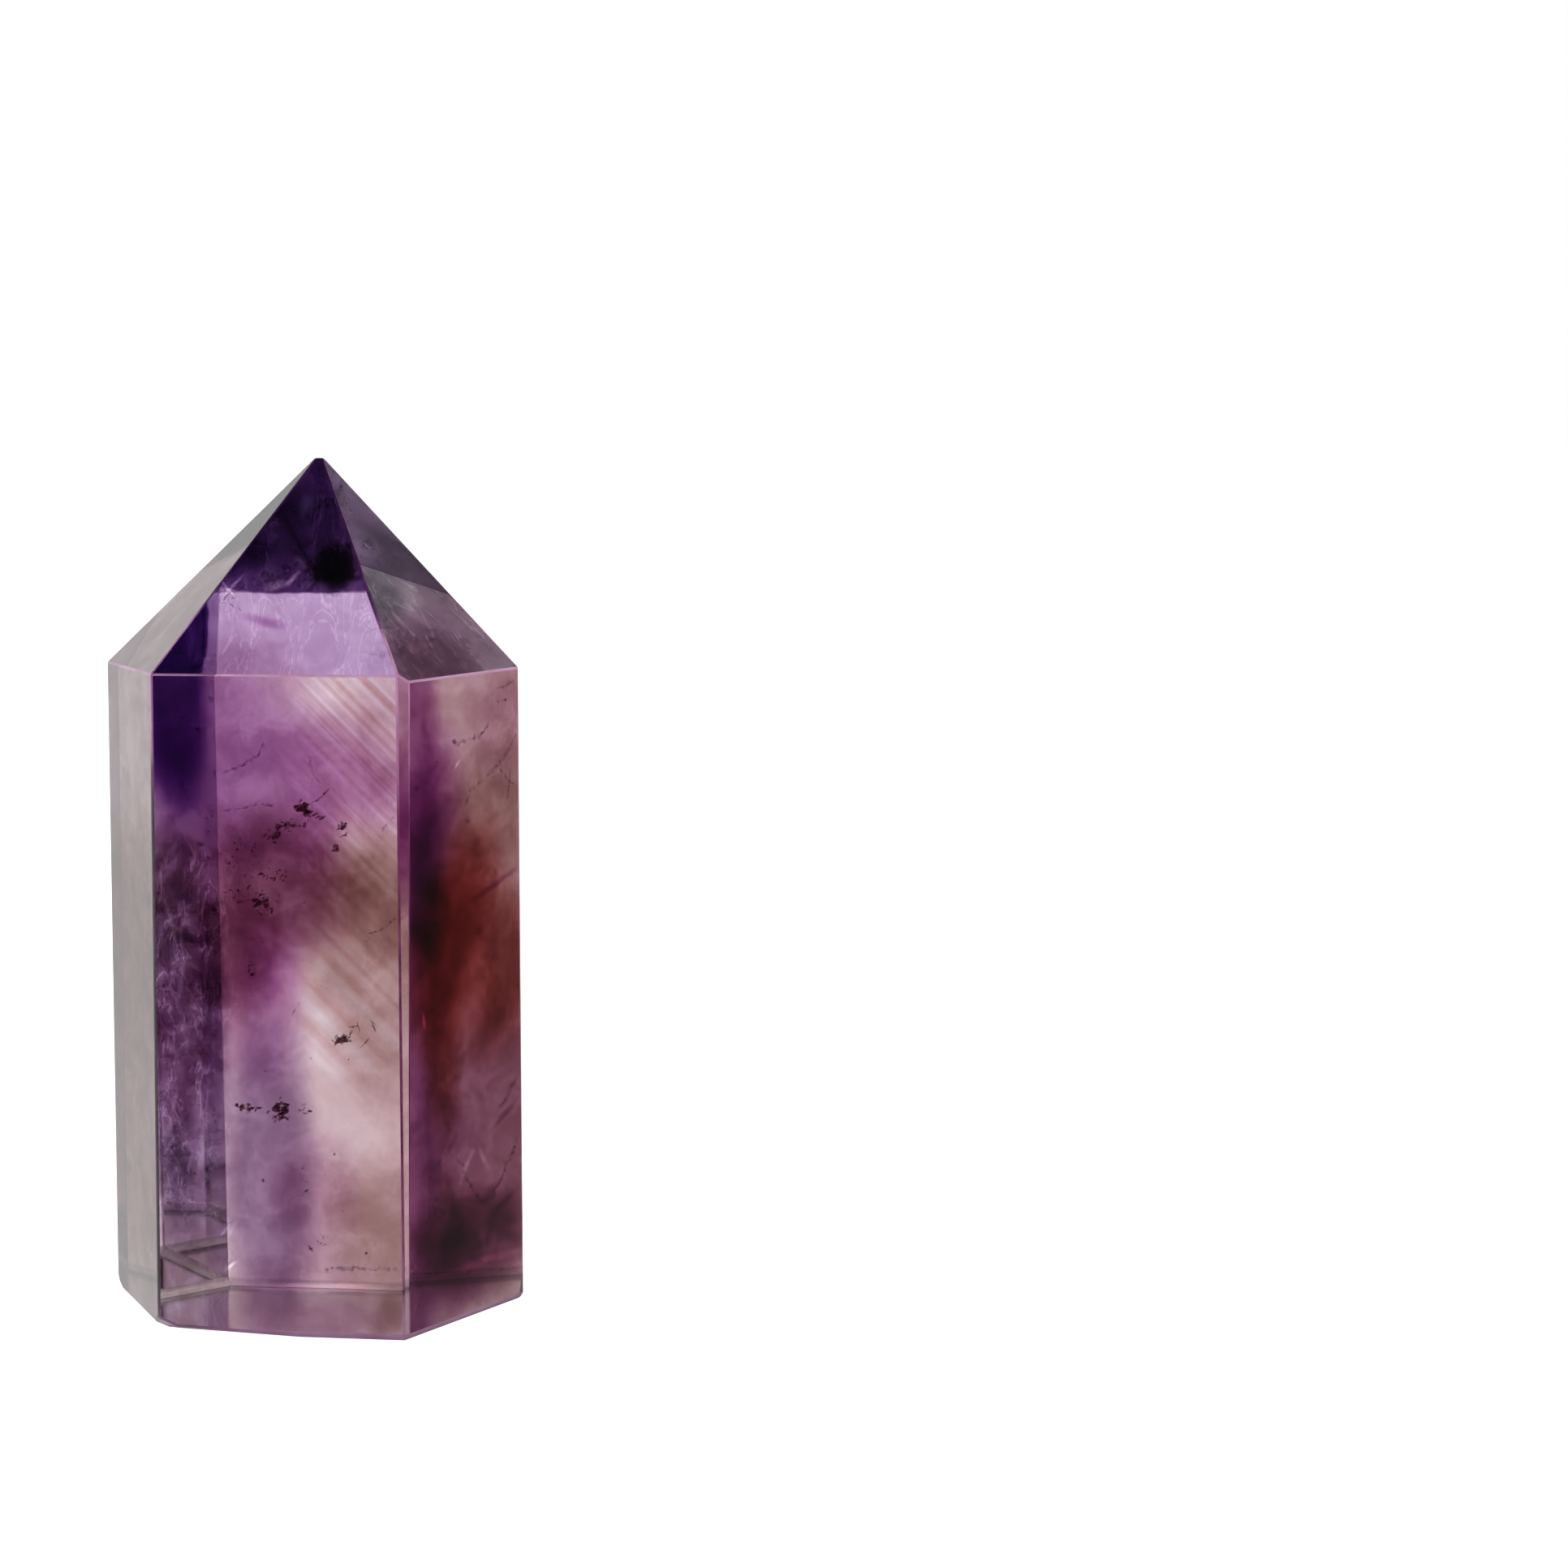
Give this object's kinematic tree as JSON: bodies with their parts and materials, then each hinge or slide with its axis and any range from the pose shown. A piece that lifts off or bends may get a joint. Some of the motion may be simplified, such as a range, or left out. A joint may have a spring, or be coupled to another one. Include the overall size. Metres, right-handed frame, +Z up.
{
  "type": "ametrine tower",
  "caption": "Polished ametrine quartz tower: a six-sided prism of clear violet and golden crystal that ends in a six-sided point and stands on its flat base.",
  "frame": {"origin": "middle of the tower's box, on the surface that its base stands on", "axes": "+Z up to the point; the widest side faces -Y, turned a few degrees towards -X"},
  "size_m": [0.0348, 0.0284, 0.0716],
  "materials": {
    "ametrine": "polished clear quartz, violet to golden"
  },
  "bodies": {
    "root": {"ametrine_tower": "ametrine"}
  },
  "joints": []
}
